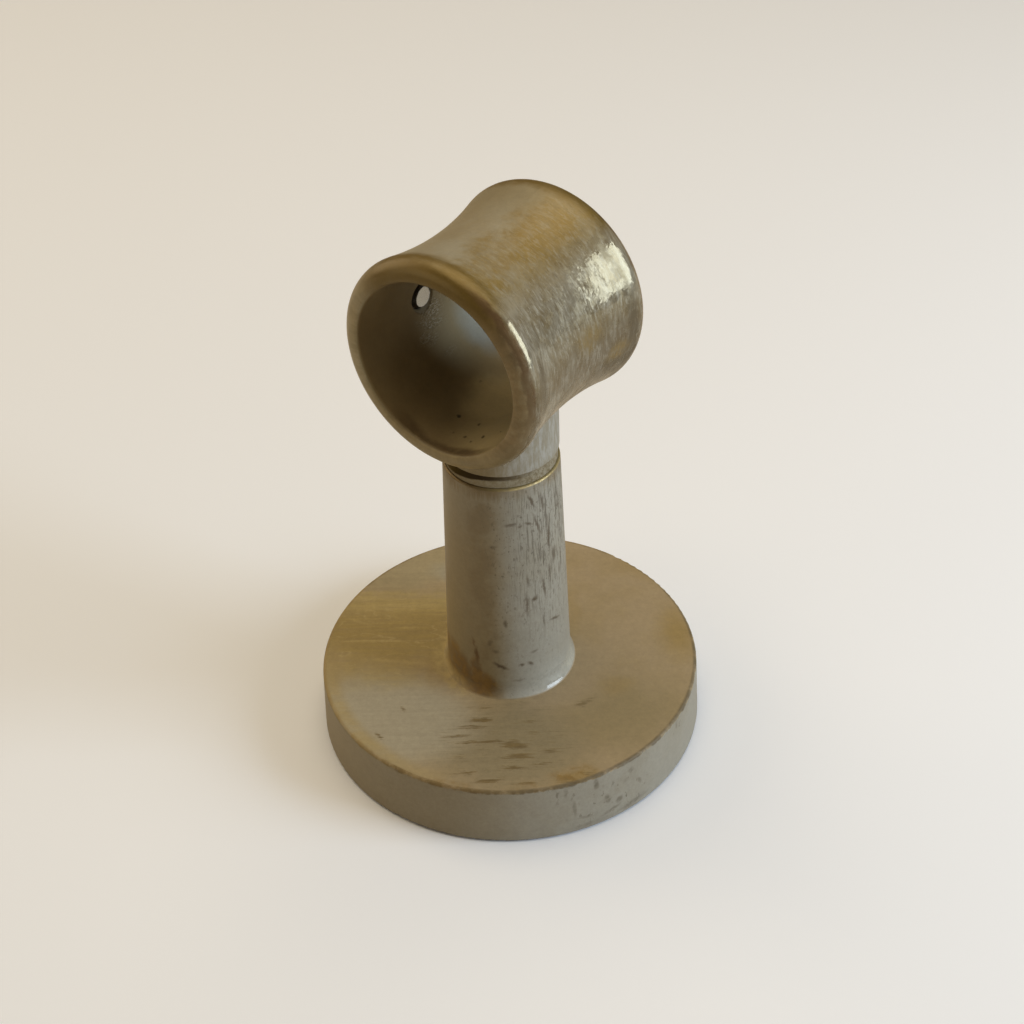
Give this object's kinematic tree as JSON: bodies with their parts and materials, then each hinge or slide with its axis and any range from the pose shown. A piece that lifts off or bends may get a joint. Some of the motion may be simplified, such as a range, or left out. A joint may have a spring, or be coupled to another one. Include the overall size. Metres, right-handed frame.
{
  "type": "ceiling pole bracket",
  "caption": "Ceiling bracket for a curtain pole: round hollow base, tapered post and a waisted ring head with a set screw, over a concealed fixing plate.",
  "frame": {"origin": "centre of the base's mounting face", "axes": "+Z away from the ceiling, up the post to the head; +Y along the pole's bore; the set screws are on the -X side"},
  "size_m": [0.061, 0.061, 0.0891],
  "materials": {
    "base_paint": "satin ivory paint brushed thin over gold, worn at the edges",
    "head_paint": "satin champagne gold with ivory brush streaks",
    "screw_steel": "bright steel",
    "plate_metal": "dull zinc"
  },
  "bodies": {
    "base": {"base_post": "base_paint", "joining_stud": "screw_steel", "ceiling_plate": "plate_metal"},
    "head": {"pole_ring": "head_paint"},
    "pole_screw": {"pole_set_screw": "screw_steel"},
    "lock_screw": {"plate_lock_screw": "screw_steel"}
  },
  "joints": [
    {"name": "head_swivel", "type": "hinge", "parent": "base", "child": "head", "pos_m": [0, 0, 0.0504], "axis": [0, 0, 1], "range_deg": [-90, 90]},
    {"name": "pole_screw_travel", "type": "slide", "parent": "head", "child": "pole_screw", "axis": [1, 0, 0], "range_m": [-0.0008, 0.002]},
    {"name": "lock_screw_travel", "type": "slide", "parent": "base", "child": "lock_screw", "axis": [1, 0, 0], "range_m": [-0.0012, 0.0003]}
  ]
}
